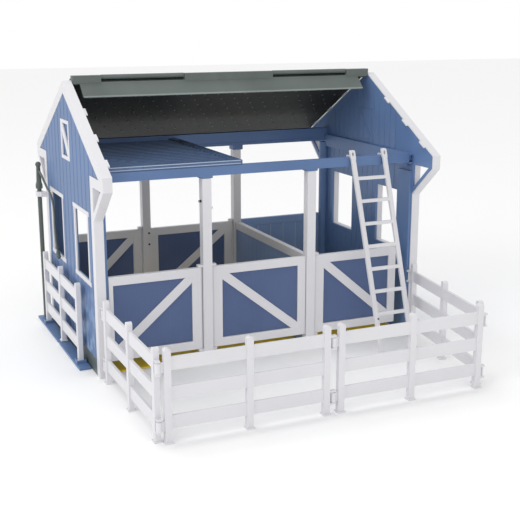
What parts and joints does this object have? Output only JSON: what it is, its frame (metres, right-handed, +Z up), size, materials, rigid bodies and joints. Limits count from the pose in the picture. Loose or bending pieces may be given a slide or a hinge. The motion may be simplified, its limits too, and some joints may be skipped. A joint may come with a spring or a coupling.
{
  "type": "toy stable",
  "caption": "Open-fronted toy stable with half doors, a loft and ladder, a roof panel that folds back over the ridge, a hinged fence yard and a wash place.",
  "frame": {"origin": "middle of the floor sheet's underside, on the surface the stable stands on", "axes": "+Z up; +Y from the front to the back of the stable; +X to the right seen from the front"},
  "size_m": [0.3935, 0.4401, 0.3024],
  "materials": {
    "blue_board": "satin moulded plastic with a fine board grain",
    "blue_panel": "satin moulded plastic with upright boards",
    "white_trim": "smooth semi-gloss moulded plastic",
    "roof_tile": "matt moulded plastic",
    "wash_grey": "satin moulded plastic",
    "floor_mustard": "matt sheet plastic"
  },
  "bodies": {
    "root": {"left_gable_trim": "white_trim", "left_wall": "blue_board", "left_window_front": "white_trim", "left_window_back": "white_trim", "left_loft_door": "white_trim", "right_gable_trim": "white_trim", "right_wall": "blue_board", "right_window_front": "white_trim", "right_window_back": "white_trim", "right_loft_door": "white_trim", "front_beam": "blue_board", "back_beam": "blue_board", "loft_floor": "blue_board", "front_left_post": "white_trim", "front_right_post": "white_trim", "back_left_post": "white_trim", "back_right_post": "white_trim", "roof_back_panel": "roof_tile", "ridge_rod": "roof_tile", "floor_sheet": "floor_mustard", "half_wall": "blue_panel", "stall_partition": "blue_panel", "partition_rail": "white_trim", "wash_base": "blue_board", "wash_fence": "white_trim", "wash_pole": "wash_grey", "pole_collar": "white_trim", "splash_board": "wash_grey"},
    "front_roof": {"roof_front_panel": "roof_tile"},
    "front_left_door": {"front_left_door_frame": "white_trim", "front_left_door_boards": "blue_panel"},
    "front_gate": {"front_gate_frame": "white_trim", "front_gate_boards": "blue_panel"},
    "front_right_door": {"front_right_door_frame": "white_trim", "front_right_door_boards": "blue_panel"},
    "back_left_door": {"back_left_door_frame": "white_trim", "back_left_door_boards": "blue_panel"},
    "back_middle_door": {"back_middle_door_frame": "white_trim", "back_middle_door_boards": "blue_panel"},
    "ladder": {"ladder": "white_trim"},
    "side_fence_left": {"side_fence_left": "white_trim"},
    "front_fence_left": {"front_fence_left": "white_trim"},
    "front_fence_right": {"front_fence_right": "white_trim"},
    "side_fence_right": {"side_fence_right": "white_trim"},
    "spray_arm": {"spray_handle": "wash_grey", "wash_hose": "wash_grey", "spray_nozzle": "wash_grey"}
  },
  "joints": [
    {"name": "roof_fold", "type": "hinge", "parent": "root", "child": "front_roof", "pos_m": [0, 0, 0.29989], "axis": [1, 0, 0], "range_deg": [0, 238]},
    {"name": "front_left_door_swing", "type": "hinge", "parent": "root", "child": "front_left_door", "pos_m": [-0.07742, -0.105, 0.0624], "axis": [0, 0, 1], "range_deg": [0, 88]},
    {"name": "front_gate_swing", "type": "hinge", "parent": "root", "child": "front_gate", "pos_m": [-0.06182, -0.105, 0.0624], "axis": [0, 0, 1], "range_deg": [-88, 0]},
    {"name": "front_right_door_swing", "type": "hinge", "parent": "root", "child": "front_right_door", "pos_m": [0.06001, -0.105, 0.0624], "axis": [0, 0, 1], "range_deg": [0, 88]},
    {"name": "back_left_door_swing", "type": "hinge", "parent": "root", "child": "back_left_door", "pos_m": [-0.07742, 0.105, 0.0624], "axis": [0, 0, 1], "range_deg": [-88, 0]},
    {"name": "back_middle_door_swing", "type": "hinge", "parent": "root", "child": "back_middle_door", "pos_m": [0.04441, 0.105, 0.0624], "axis": [0, 0, 1], "range_deg": [-88, 0]},
    {"name": "ladder_slide", "type": "slide", "parent": "root", "child": "ladder", "axis": [1, 0, 0], "range_m": [-0.105, 0.006]},
    {"name": "side_fence_left_swing", "type": "hinge", "parent": "root", "child": "side_fence_left", "pos_m": [-0.1849, -0.1158, 0.0435], "axis": [0, 0, 1], "range_deg": [-90, 0]},
    {"name": "front_fence_left_swing", "type": "hinge", "parent": "side_fence_left", "child": "front_fence_left", "pos_m": [-0.1849, -0.2867, 0.0435], "axis": [0, 0, 1], "range_deg": [-90, 0]},
    {"name": "front_fence_right_swing", "type": "hinge", "parent": "front_fence_left", "child": "front_fence_right", "pos_m": [-0.0136, -0.2867, 0.0435], "axis": [0, 0, 1], "range_deg": [-86, 0]},
    {"name": "side_fence_right_swing", "type": "hinge", "parent": "root", "child": "side_fence_right", "pos_m": [0.1788, -0.1146, 0.0435], "axis": [0, 0, 1], "range_deg": [0, 90]},
    {"name": "spray_arm_swivel", "type": "hinge", "parent": "root", "child": "spray_arm", "pos_m": [-0.197, 0.1145, 0.17], "axis": [0, 0, 1], "range_deg": [-75, 0]}
  ]
}
